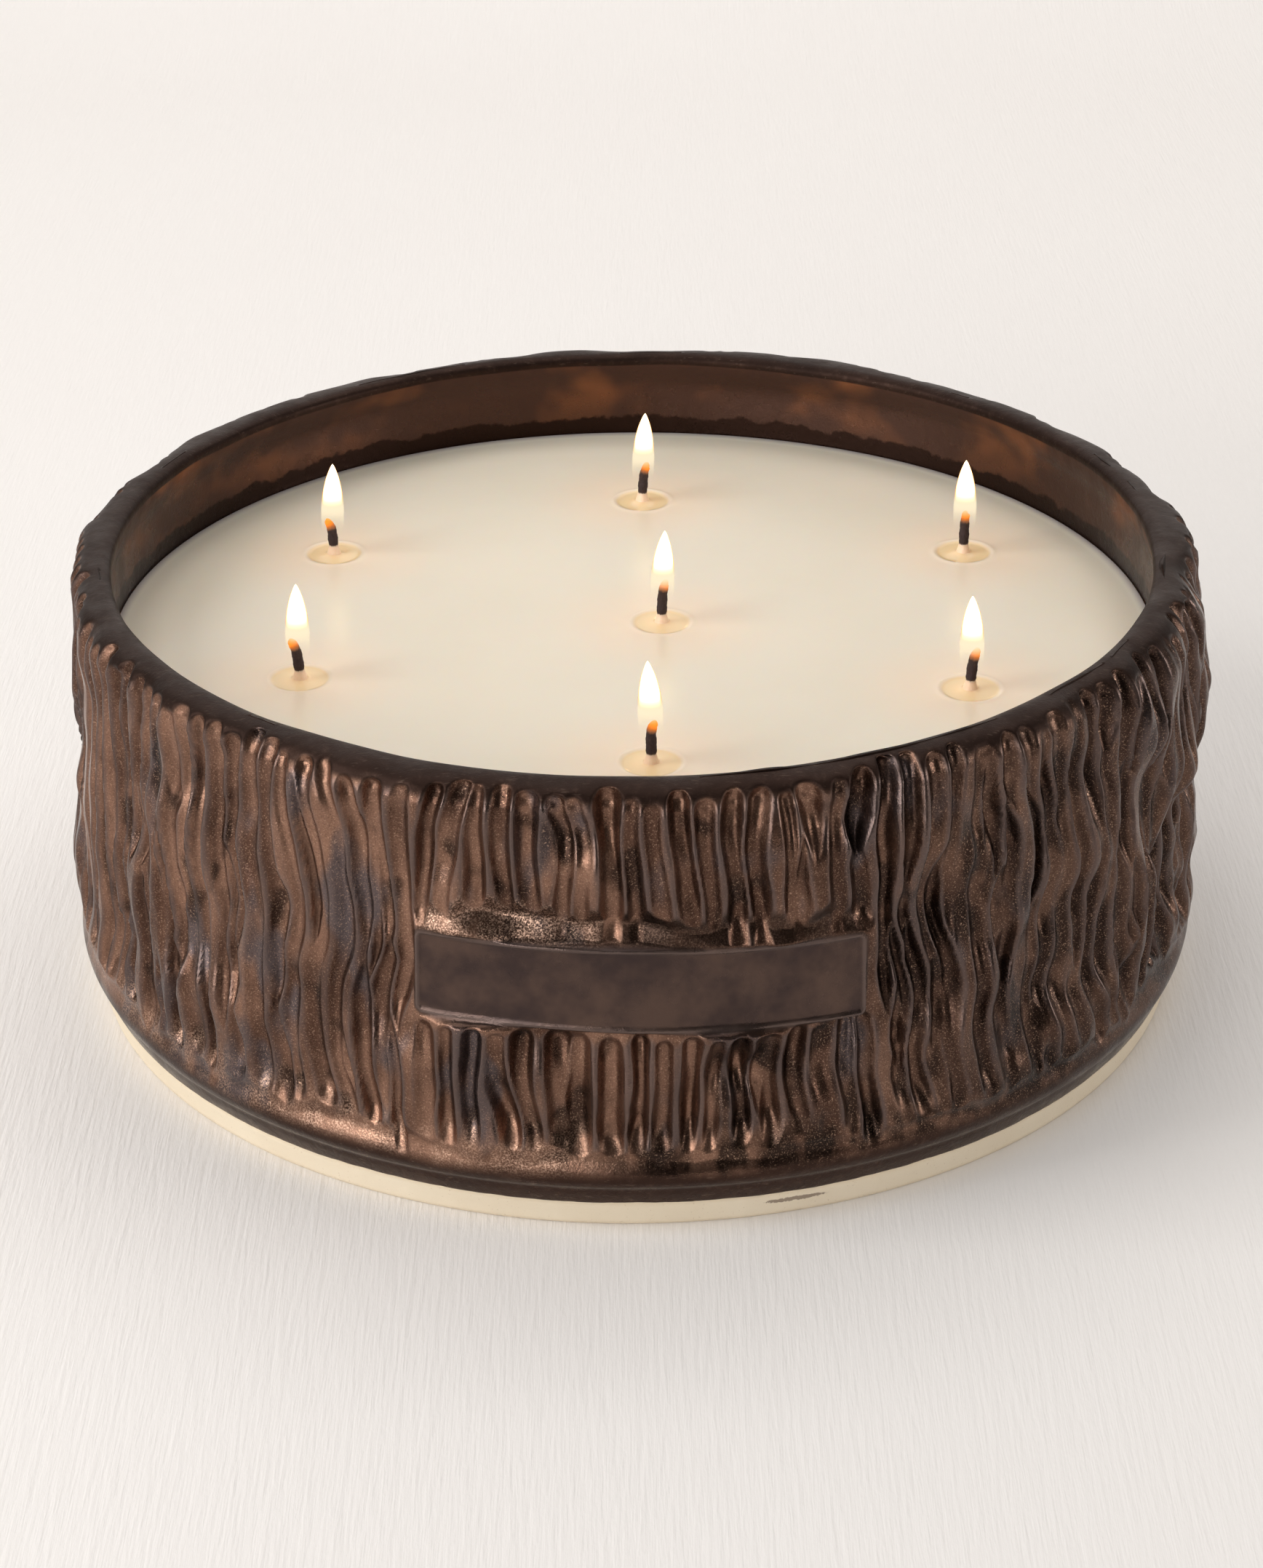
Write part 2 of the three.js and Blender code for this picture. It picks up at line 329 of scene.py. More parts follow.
def carve_plate(depth, arc, z):
    """Sets the plate and the ledge above it into the relief. It also gives where the plate, the ledge and the
    plate's border are, each from 0 to 1."""
    x, y = plate_place(arc, z)
    edge = plate_edge(x, y)
    half = (PLATE_TOP - PLATE_BOTTOM) / 2

    # The ledge deepens above the plate, runs out along a wavering line, and closes at its sides and foot
    over = y - half
    turn = x / 250 + 0.5
    waver = 1.7 * round_noise(turn, 37, 71) + 0.7 * round_noise(turn, 90, 72)
    shelf = 1.5 + 2.6 * smooth(over, 0, 7)
    top = 0.55 * np.clip(over - 5.5 - 1.4 * waver, 0, None)
    sides = 2.5 * np.clip(np.abs(x) - PLATE_WIDTH / 2 + 1.5, 0, None)
    foot = 4 * np.clip(-over, 0, None)
    ledge = shelf - top - (sides + foot)
    above = smooth(ledge - depth, -0.6, 0.5)
    depth = np.maximum(depth, ledge)

    # The plate has an almost flat face and a raised border just inside its edge
    border = np.exp(-(((edge - 0.8) / 0.5) ** 2))
    face = 1.6 + 0.15 * np.sin(x / 9 + y / 7) - 0.8 * border
    on = smooth(edge, -0.7, 0.4)
    return depth * (1 - on) + face * on, on, above, border


# Meshes


def add_mesh(name, vertices, faces, material, attributes=None):
    """A smooth mesh from arrays: vertices in millimetres, and faces as a list of arrays with 3 or 4 columns.
    attributes are numbers for each vertex, which the material reads by name."""
    mesh = bpy.data.meshes.new(name)
    vertices = np.asarray(vertices, float) * MM
    loops = np.concatenate([f.reshape(-1) for f in faces])
    sizes = np.concatenate([np.full(len(f), f.shape[1]) for f in faces])
    starts = np.concatenate([[0], np.cumsum(sizes)[:-1]])
    mesh.vertices.add(len(vertices))
    mesh.vertices.foreach_set("co", vertices.astype(np.float32).ravel())
    mesh.loops.add(len(loops))
    mesh.loops.foreach_set("vertex_index", loops.astype(np.int32))
    mesh.polygons.add(len(sizes))
    mesh.polygons.foreach_set("loop_start", starts.astype(np.int32))
    mesh.polygons.foreach_set("loop_total", sizes.astype(np.int32))
    mesh.polygons.foreach_set("use_smooth", np.full(len(sizes), True))
    mesh.update(calc_edges=True)
    mesh.validate()
    for key, values in (attributes or {}).items():
        layer = mesh.attributes.new(key, "FLOAT", "POINT")
        layer.data.foreach_set("value", np.asarray(values, np.float32).ravel())
    piece = bpy.data.objects.new(name, mesh)
    bpy.context.scene.collection.objects.link(piece)
    mesh.materials.append(material)
    return piece


def grid_faces(rows, columns):
    """The faces of a grid that goes once round. Rows run up the outside."""
    i = np.arange(rows - 1)[:, None] * columns
    j = np.arange(columns)[None, :]
    k = (j + 1) % columns
    return np.stack([i + j, i + k, i + columns + k, i + columns + j], -1).reshape(-1, 4)


def capped_turn(rings, low_centre, high_centre):
    """A closed surface: rings of points, with a fan to a middle point at either end."""
    rows, columns, _ = rings.shape
    vertices = np.concatenate([rings.reshape(-1, 3), [low_centre, high_centre]])
    j = np.arange(columns)
    k = (j + 1) % columns
    low = np.stack([k, j, np.full(columns, rows * columns)], -1)
    last = (rows - 1) * columns
    high = np.stack([last + j, last + k, np.full(columns, rows * columns + 1)], -1)
    return vertices, [grid_faces(rows, columns), low, high]


def own(piece, node_names):
    """Says what a piece rides on, and which CAD nodes it replaces."""
    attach(piece, "root")
    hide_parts(*node_names)
    return piece


def crest_radius(z):
    """The radius of the bowl's outside at a height, before any cut."""
    share = (z - TAPER_START) / (RIM - TAPER_START)
    return BOWL_RADIUS - BARK_TAPER * share


def spline(points, step):
    """Points every step along a smooth curve through the given ones."""
    points = np.array(points, float)
    padded = np.concatenate([[2 * points[0] - points[1]], points, [2 * points[-1] - points[-2]]])
    out = []
    for a, b, c, d in zip(padded, padded[1:], padded[2:], padded[3:]):
        count = max(1, round(float(np.linalg.norm(c - b)) / step))
        t = (np.arange(count) / count)[:, None]
        square = 2 * a - 5 * b + 4 * c - d
        cube = 3 * b - a - 3 * c + d
        out.append(0.5 * (2 * b + (c - a) * t + square * t**2 + cube * t**3))
    out.append(points[-1:])
    return np.concatenate(out)


def bowl_shell():
    """The whole bowl: its bark, band and plate outside, its lip, and its plain wall and floor inside."""

    # The section, as radius and height, from under the foot up the outside, over the lip and down the inside
    foot = spline(
        [
            (BASE_RADIUS - 20, BASE_TOP),
            (BASE_RADIUS - 1, BASE_TOP),
            (BASE_RADIUS + 0.6, BASE_TOP + 0.35),
            (BASE_RADIUS + 1.2, BASE_TOP + 1.2),
            (BASE_RADIUS + 2.4, BASE_TOP + 4),
            (BASE_RADIUS + 3.2, BASE_TOP + 6.4),
            (BASE_RADIUS + 4.0, BASE_TOP + 7.4),
            (BASE_RADIUS + 4.7, BASE_TOP + 9.2),
            (crest_radius(BASE_TOP + 11), BASE_TOP + 11),
        ],
        0.55,
    )
    trunk_z = np.arange(BASE_TOP + 11.8, RIM - 6.4, 0.64)
    trunk = np.stack([crest_radius(trunk_z), trunk_z], -1)
    lip = spline(
        [
            (162.5, RIM - 6.0),
            (161.9, RIM - 4.6),
            (161.1, RIM - 3.2),
            (160.1, RIM - 2.0),
            (158.7, RIM - 1.1),
            (156.8, RIM - 0.5),
            (154.4, RIM - 0.15),
            (152.6, RIM - 0.3),
            (151.3, RIM - 0.9),
            (150.6, RIM - 1.9),
            (150.5, RIM - 3.2),
            (150.9, RIM - 5.4),
            (151.8, RIM - 8.5),
            (WALL_RADIUS, RIM - 12),
            (WALL_RADIUS, RIM - 20),
            (WALL_RADIUS, WAX_TOP + 2),
            (WALL_RADIUS, WAX_TOP - 2),
        ],
        0.6,
    )
    inside = spline(
        [
            (WALL_RADIUS, WAX_TOP - 6),
            (WALL_RADIUS, 60),
            (WALL_RADIUS, FLOOR + 14),
            (WALL_RADIUS - 4.1, FLOOR + 4.1),
            (WALL_RADIUS - 14, FLOOR),
            (100, FLOOR),
            (30, FLOOR),
        ],
        14,
    )
    section = np.concatenate([foot, trunk, lip, inside])
    radius, height = section[:, 0], section[:, 1]

    # Places round the bowl, as shares of a turn and as distances along the girth from the front
    turns = np.arange(COLUMNS) / COLUMNS
    arc = (turns - FRONT_TURN) * GIRTH
    arc = (arc + GIRTH / 2) % GIRTH - GIRTH / 2

    # The relief covers the rows from the foot to the crest of the lip, and fades at both
    crest_row = len(foot) + len(trunk) + int(np.argmax(lip[:, 1]))
    relief = Relief(turns, height[:crest_row])
    carve_bark(relief)
    turn = turns[None, :]
    z = height[:crest_row, None]
    depth = carve_run_out(relief.result(), turn, z)
    depth, plate, ledge, border = carve_plate(depth, arc[None, :], z)
    fade = smooth(z, BASE_TOP + 9, BASE_TOP + 13) * (1 - smooth(z, RIM - 1.7, RIM - 0.2))
    cut = (depth - CREST_DEPTH) * fade

    # Where the glaze changes: on crests that stand proud and over the whole of the bark. Narrow creases are
    # found too, for a darkening that is partly pooled glaze and partly painted shade
    raised = nearby_mean(cut, 4) - cut
    crest = np.maximum(smooth(raised, 0.15, 1.0) * (1 - plate), border * plate)
    crease = smooth(cut - nearby_mean(cut, 2), 0.1, 0.35) * (1 - plate)
    low_edge = z + 1.2 * round_noise(turn, 60, 83)
    high_edge = np.maximum(1 - smooth(z, RIM - 5.5, RIM - 3.2), smooth(cut, 0.2, 1.1))
    bark = smooth(low_edge, BARK_BOTTOM - 4, BARK_BOTTOM + 1.5) * high_edge

    # The wall under the bark swells and sinks, most on the right
    rise = z / RIM
    swell = 0.9 * ring_noise(turn, rise, 24, 3, 31) + 2.4 * ring_noise(turn, rise, 44, 6, 32)
    swell += 1.6 * ring_noise(turn, rise, 84, 11, 33)
    swell *= 1.08 + 0.4 * np.cos(2 * math.pi * turn)
    swell = swell * smooth(z, BASE_TOP + 8, 34) * (1 - plate) * (1 - 0.5 * smooth(z, RIM - 12, RIM - 3))
    ring_radius = np.repeat(radius[:, None], COLUMNS, 1)
    ring_height = np.repeat(height[:, None], COLUMNS, 1)
    ring_radius[:crest_row] += swell - cut

    # The rolled lip wavers, most on its outer edge
    near_lip = smooth(height[:, None], RIM - 16, RIM - 4)
    outer = smooth(radius[:, None], 151.5, 159)
    edge_wave = 1.2 * round_noise(turn, 41, 41) + 1.1 * round_noise(turn, 97, 42)
    inner_wave = 0.5 * round_noise(turn, 24, 43) + 0.25 * round_noise(turn, 61, 44)
    ring_radius += near_lip * (outer * edge_wave + (1 - outer) * inner_wave)
    height_wave = 0.5 * round_noise(turn, 17, 45) + 0.35 * round_noise(turn, 47, 46)
    ring_height += near_lip * height_wave
    ring_height = np.minimum(ring_height, RIM + 0.6)

    angle = 2 * math.pi * turn
    rings = np.stack([ring_radius * np.cos(angle), ring_radius * np.sin(angle), ring_height], -1)
    vertices, faces = capped_turn(rings, (0, 0, BASE_TOP), (0, 0, FLOOR))

    def spread(values):
        """The relief's values, with 0 past the lip's crest and at the two middle points."""
        whole = np.zeros((len(section), COLUMNS))
        whole[: values.shape[0]] = values
        return np.append(whole.ravel(), [0, 0])

    past_lip = np.repeat(np.arange(len(section)) > crest_row + 8, COLUMNS).astype(float)
    attributes = {
        "crest": spread(crest),
        "crease": spread(crease),
        "cut": spread(np.clip((depth - swell) / 5, 0, 1) * fade),
        "bark": spread(bark * (1 - plate)),
        "plate": spread(plate),
        "ledge": spread(ledge * (1 - plate)),
        "inside": np.append(past_lip, [0, 1]),
    }
    piece = add_mesh("bowl_shell", vertices, faces, bronze_glaze(), attributes)
    return own(piece, ["bowl"])


def clay_foot():
    """The bare clay base with softened edges and a slight unevenness from the cast."""
    section = spline(
        [
            (BASE_RADIUS - 24, 3),
            (BASE_RADIUS - 23, 3),
            (BASE_RADIUS - 20.5, 0.8),
            (BASE_RADIUS - 19.4, 0),
            (BASE_RADIUS - 1.2, 0),
            (BASE_RADIUS - 0.35, 0.35),
            (BASE_RADIUS, 1.3),
            (BASE_RADIUS + 0.1, 4),
            (BASE_RADIUS + 0.15, BASE_TOP - 0.05),
            (BASE_RADIUS - 3, BASE_TOP - 0.02),
        ],
        0.8,
    )
    columns = 480
    turn = (np.arange(columns) / columns)[None, :]
    radius = section[:, :1] + 0.12 * round_noise(turn, 90, 51) * smooth(section[:, 1:], 0, 1)
    height = np.repeat(section[:, 1:], columns, 1)
    angle = 2 * math.pi * turn
    rings = np.stack([radius * np.cos(angle), radius * np.sin(angle), height], -1)
    vertices, faces = capped_turn(rings, (0, 0, 3), (0, 0, BASE_TOP - 0.02))
    return own(add_mesh("clay_foot", vertices, faces, bare_clay()), ["bare_clay_base"])


# Wax


def pool_profile(distance):
    """How far the wax surface lies above or below its level round a wick: a flat dish, a low rim about it,
    and a climb up the cord."""
    dish = -0.3 * (1 - smooth(distance, 7.2, 8.8))
    rim = 0.15 * np.exp(-(((distance - 9.3) / 0.6) ** 2))
    climb = 1.1 * np.exp(-np.clip(distance - 1.5, 0, None) / 0.8)
    return dish + rim + climb


def wax_plan(centres):
    """The outline of the wax's top, seen from above, and the points to divide it by."""
    edge = WAX_RADIUS

    # Close rings round each wick
    points = []
    for centre in centres:
        points.append(centre[None, :])
        for ring, radius in enumerate(np.concatenate([np.arange(0.8, 10, 0.35), np.arange(10, 15, 0.9)])):
            count = int(np.clip(2 * math.pi * radius / 0.7, 14, 84))
            angles = 2 * math.pi * (np.arange(count) + 0.5 * (ring % 2)) / count
            points.append(centre + radius * np.stack([np.cos(angles), np.sin(angles)], -1))

    # A field of even triangles between them, whose rows stand closer than its columns
    spacing = 3.6
    row_share = 0.866
    steps = np.arange(-edge, edge, spacing)
    xs, ys = np.meshgrid(steps, steps * row_share)
    xs = xs + (np.arange(len(steps)) % 2)[:, None] * spacing / 2
    field = np.stack([xs.ravel(), ys.ravel()], -1)
    near = np.min(np.linalg.norm(field[:, None] - centres[None], axis=2), axis=1)
    points.append(field[(near > 16) & (np.hypot(*field.T) < edge - 5)])

    # Rings along the wall
    count = 360
    angles = 2 * math.pi * np.arange(count) / count
    circle = np.stack([np.cos(angles), np.sin(angles)], -1)
    for inset in (3.6, 2.2, 1.2, 0.6, 0.2):
        points.append((edge - inset) * circle)
    return edge * circle, np.concatenate(points)


def wax_block():
    """The cast wax: a finely divided top with a dish round each wick, and a plain side and underside."""
    edge = WAX_RADIUS
    centres = np.array([wick_place(place)[:2] for place in PLACES])
    outline, inner = wax_plan(centres)
    flat = [Vector(p) for p in np.concatenate([outline, inner])]
    edges = [(i, (i + 1) % len(outline)) for i in range(len(outline))]
    found = delaunay_2d_cdt(flat, edges, [], 1, 1e-5)
    top = np.array([tuple(p) for p in found[0]])
    triangles = np.array([f for f in found[2] if len(f) == 3])

    # The height of the top: a dish at each wick, a climb at the wall, and a slight unevenness
    span = np.hypot(top[:, 0], top[:, 1])
    distance = np.min(np.linalg.norm(top[:, None] - centres[None], axis=2), axis=1)
    turn = np.arctan2(top[:, 1], top[:, 0]) / (2 * math.pi)
    level = WAX_TOP + pool_profile(distance)
    level += 0.5 * smooth(span, edge - 4, edge) ** 2
    level += 0.12 * ring_noise(turn, span / edge, 9, 5, 61) * smooth(distance, 8, 20)
    top_points = np.column_stack([top, level])

    # The side joins the top's outline and runs down to the floor, where a fan closes it
    order = np.nonzero(span > edge - 0.01)[0]
    order = order[np.argsort(np.arctan2(top[order, 1], top[order, 0]))]
    side = [(edge, WAX_TOP - 8), (edge, FLOOR + 14), (edge - 4.1, FLOOR + 4.1), (edge - 14, FLOOR)]
    vertices = [top_points]
    faces = [triangles]
    above = order
    start = len(top_points)
    direction = top[order] / span[order][:, None]
    for radius, height in side:
        vertices.append(np.column_stack([radius * direction, np.full(len(order), height)]))
        below = start + np.arange(len(order))
        faces.append(np.stack([below, np.roll(below, -1), np.roll(above, -1), above], -1))
        above = below
        start += len(order)
    vertices.append(np.array([[0, 0, FLOOR]]))
    faces.append(np.stack([np.roll(above, -1), above, np.full(len(above), start)], -1))
    vertices = np.concatenate(vertices)

    # How far each point is from a wick and from the wall, with the side far from any wick
    below_top = len(vertices) - len(top_points)
    attributes = {
        "wick_distance": np.append(distance, np.full(below_top, 60.0)),
        "wall_distance": np.append(edge - span, np.zeros(below_top)),
    }
    return own(add_mesh("wax_block", vertices, faces, wax(), attributes), ["wax_fill"])


# Wicks and flames

# How a wick and its flame stand, in millimetres: how far the cord leans, how high it climbs above the wax,
# how far its tip hooks over, how far the flame's tip drifts from over its foot, and how high that tip is
Stance = namedtuple("Stance", "lean rise hook drift tip")
STANCES = {
    "centre": Stance(0.6, 11.7, 1.4, 1.0, 29.0),
    "front": Stance(0.0, 10.7, 1.8, -0.9, 30.4),
    "right_front": Stance(0.9, 10.7, 1.6, -0.3, 28.6),
    "right_rear": Stance(0.2, 12.0, 0.7, -0.1, 30.1),
    "rear": Stance(0.8, 11.0, 1.5, 1.0, 29.5),
    "left_rear": Stance(-0.6, 9.5, -1.8, 0.8, 29.4),
    "left_front": Stance(-1.0, 10.4, -1.9, 0.2, 29.3),
}


def wick_line(place):
    """The middle line of a wick from its foot to its hooked tip, in two parts that meet just under the wax's
    level."""
    x, y, _ = wick_place(place)
    lean, rise, hook = STANCES[place][:3]
    foot = node_box("wick_" + place)[0][2]
    low = [(x, y, foot), (x, y, WAX_TOP - 12), (x, y, WAX_TOP - 2)]
    high = [
        (x, y, WAX_TOP - 2),
        (x, y, WAX_TOP + 1.5),
        (x + 0.25 * lean, y, WAX_TOP + 0.5 * rise),
        (x + 0.75 * lean, y, WAX_TOP + 0.85 * rise),
        (x + lean + 0.4 * hook, y, WAX_TOP + rise + 0.6),
        (x + lean + hook, y, WAX_TOP + rise + 0.9),
    ]
    return spline(low, 9), spline(high, 0.3)


def tube(line, radius, sides, braid):
    """Rings of points round a line. radius is a number for each point of the line, and braid gives how far
    the surface bulges at each point and angle."""
    ahead = np.gradient(line, axis=0)
    ahead /= np.linalg.norm(ahead, axis=1)[:, None]
    side = np.cross(ahead, (0, 1, 0))
    side /= np.linalg.norm(side, axis=1)[:, None]
    back = np.cross(ahead, side)
    angle = 2 * math.pi * np.arange(sides) / sides
    size = radius[:, None] * (1 + braid(angle))
    outward = np.cos(angle)[None, :, None] * side[:, None] + np.sin(angle)[None, :, None] * back[:, None]
    return line[:, None] + size[..., None] * outward


def wick_cord(place, seed):
    """A braided cotton wick: waxed at its foot, charred above the wax, its tip glowing. burnt is the distance
    along it from the level of the wax."""
    low, high = wick_line(place)
    line = np.concatenate([low[:-1], high])
    rise = line[:, 2] - WAX_TOP
    length = np.concatenate([[0], np.cumsum(np.linalg.norm(np.diff(line, axis=0), axis=1))])
    burnt = length - length[np.argmin(np.abs(rise))]
    total = burnt[-1]

    # Its radius: swollen where it leaves the wax, slimmer above and deep below, with a rounded tip
    tip_length = 0.8
    knots = [-3, 0, 1.5, 2.8, 3.4, 5.5, total - 3.4, total - 2.4, total - tip_length]
    sizes = [2.5, 2.2, 1.75, 1.38, 1.5, 1.56, 1.4, 1.34, 1.2]
    radius = np.interp(burnt, knots, sizes)
    radius[burnt < -8] = 1.6
    radius += 0.06 * np.sin(burnt * 1.9 + seed) * smooth(burnt, 2.8, 3.8)
    end = np.clip((burnt - (total - tip_length)) / tip_length, 0, 0.97)
    radius *= np.sqrt(1 - end**2)
    sides = 40
    braid_length = 2.4

    def braid(angle):
        """The bulges where the strands cross, above the wax."""
        phase = 2 * math.pi * burnt[:, None] / braid_length
        over = np.sin(3 * angle[None, :] + phase) * np.sin(3 * angle[None, :] - phase)
        return 0.045 * over * smooth(burnt, 2.5, 3.8)[:, None]

    rings = tube(line, radius, sides, braid)
    vertices, faces = capped_turn(rings, line[0], line[-1])
    along = np.append(np.repeat(burnt, sides), [burnt[0], burnt[-1]])
    attributes = {"burnt": along, "from_tip": total - along}
    piece = add_mesh("wick_cord_" + place, vertices, faces, MATERIALS["wick"], attributes)
    return own(piece, ["wick_" + place])


def flame_drop(place):
    """A flame: drawn out to a tip above, and open and clear round the wick below."""
    x, y, _ = wick_place(place)
    stance = STANCES[place]
    tip_height = WAX_TOP + stance.tip

    # Its radius at each distance below the tip
    span = 25.0
    below_tip = np.array([0, 0.4, 1.4, 3.9, 6.3, 9.1, 12.6, 16.1, 19.6, 22.3, 24.2, span])
    size = np.array([0.02, 0.34, 0.88, 1.85, 2.5, 3.05, 3.45, 3.65, 3.6, 3.2, 2.3, 0.05])
    steps = spline(np.column_stack([below_tip, size]), 0.35)[::-1]
    sides = 48
    angle = 2 * math.pi * np.arange(sides) / sides

    # The gas rises from over the leaning wick, and bends aside towards the tip
    middle = x + 0.15 * stance.lean
    rings = []
    for fall, radius in steps:
        share = 1 - fall / span
        centre = middle + (x + stance.drift - middle) * share**1.5
        radius = max(radius, 0.02)
        xs = centre + radius * np.cos(angle)
        ys = y + radius * np.sin(angle)
        rings.append(np.column_stack([xs, ys, np.full(sides, tip_height - fall)]))
    rings = np.array(rings)
    low_point = rings[0].mean(0) - (0, 0, 0.05)
    high_point = rings[-1].mean(0) + (0, 0, 0.05)
    vertices, faces = capped_turn(rings, low_point, high_point)
    fall = tip_height - vertices[:, 2]
    piece = add_mesh("flame_drop_" + place, vertices, faces, MATERIALS["flame"], {"fall": fall})
    return own(piece, ["flame_" + place])


# Materials


class Nodes:
    """A material's node tree, with short calls for the nodes used here."""

    def __init__(self, name):
        self.material = bpy.data.materials.new(name)
        self.material.use_nodes = True
        self.tree = self.material.node_tree
        self.tree.nodes.clear()
        self.out = self.tree.nodes.new("ShaderNodeOutputMaterial")
        self.coordinates = self.tree.nodes.new("ShaderNodeTexCoord")

    def node(self, kind, inputs=None, **settings):
        """A node of a kind, with its inputs by name and its settings."""
        made = self.tree.nodes.new("ShaderNode" + kind)
        for key, value in settings.items():
            setattr(made, key, value)
        for key, value in (inputs or {}).items():
            self.put(made.inputs[key], value)
        return made

    def put(self, socket, value):
        """Links an output to a socket, or sets the socket to a plain value."""
        if isinstance(value, bpy.types.NodeSocket):
            self.tree.links.new(value, socket)
        else:
            socket.default_value = value

    def place(self, scale=(1, 1, 1)):
        """Places on the object. A scale below 1 draws a pattern out along that axis."""
        made = self.node("Mapping", {"Vector": self.coordinates.outputs["Object"], "Scale": scale})
        return made.outputs["Vector"]

    def axes(self):
        """Where a point is on the object: X, Y and Z, in metres."""
        return self.node("SeparateXYZ", {"Vector": self.coordinates.outputs["Object"]}).outputs

    def attribute(self, name):
        """A number that the mesh carries for each vertex."""
        return self.node("Attribute", attribute_name=name).outputs["Fac"]

    def noise(self, size, detail, roughness, scale=(1, 1, 1)):
        """Noise whose features are about size millimetres across."""
        inputs = {"Vector": self.place(scale), "Scale": 1 / (size * MM), "Detail": detail}
        inputs["Roughness"] = roughness
        return self.node("TexNoise", inputs).outputs["Fac"]

    def math(self, operation, a, b=0.0, c=0.0):
        """A sum of up to three numbers or outputs, named as Blender names it."""
        made = self.node("Math", operation=operation)
        for socket, value in zip(made.inputs, (a, b, c)):
            self.put(socket, value)
        return made.outputs[0]

    def times(self, a, b):
        return self.math("MULTIPLY", a, b)

    def plus(self, a, b):
        return self.math("ADD", a, b)

    def minus(self, a, b):
        return self.math("SUBTRACT", a, b)

    def ramp(self, value, low, high, start=0.0, end=1.0):
        """value from low to high, as start to end, with soft ends."""
        inputs = {"Value": value, "From Min": low, "From Max": high, "To Min": start, "To Max": end}
        return self.node("MapRange", inputs, interpolation_type="SMOOTHSTEP").outputs["Result"]

    def mix(self, share, a, b):
        """Colour a, with a share of colour b. The node's sockets repeat their names, so they go by number."""
        made = self.node("Mix", data_type="RGBA")
        for socket, value in ((made.inputs[0], share), (made.inputs[6], a), (made.inputs[7], b)):
            self.put(socket, value)
        return made.outputs[2]

    def bump(self, height, distance, normal=None):
        """Bumps as high as distance, in millimetres, on top of another bump's if it is given."""
        inputs = {"Height": height, "Distance": distance * MM, "Strength": 1.0}
        if normal is not None:
            inputs["Normal"] = normal
        return self.node("Bump", inputs).outputs["Normal"]

    def finish(self, shader):
        self.tree.links.new(shader, self.out.inputs["Surface"])
        return self.material

    def principled(self, inputs):
        return self.finish(self.node("BsdfPrincipled", inputs).outputs["BSDF"])


def rgb(red, green, blue):
    """A colour given as it looks on the screen, from 0 to 255."""
    linear = [((c / 255 + 0.055) / 1.055) ** 2.4 if c > 10 else c / 255 / 12.92 for c in (red, green, blue)]
    return (*linear, 1)


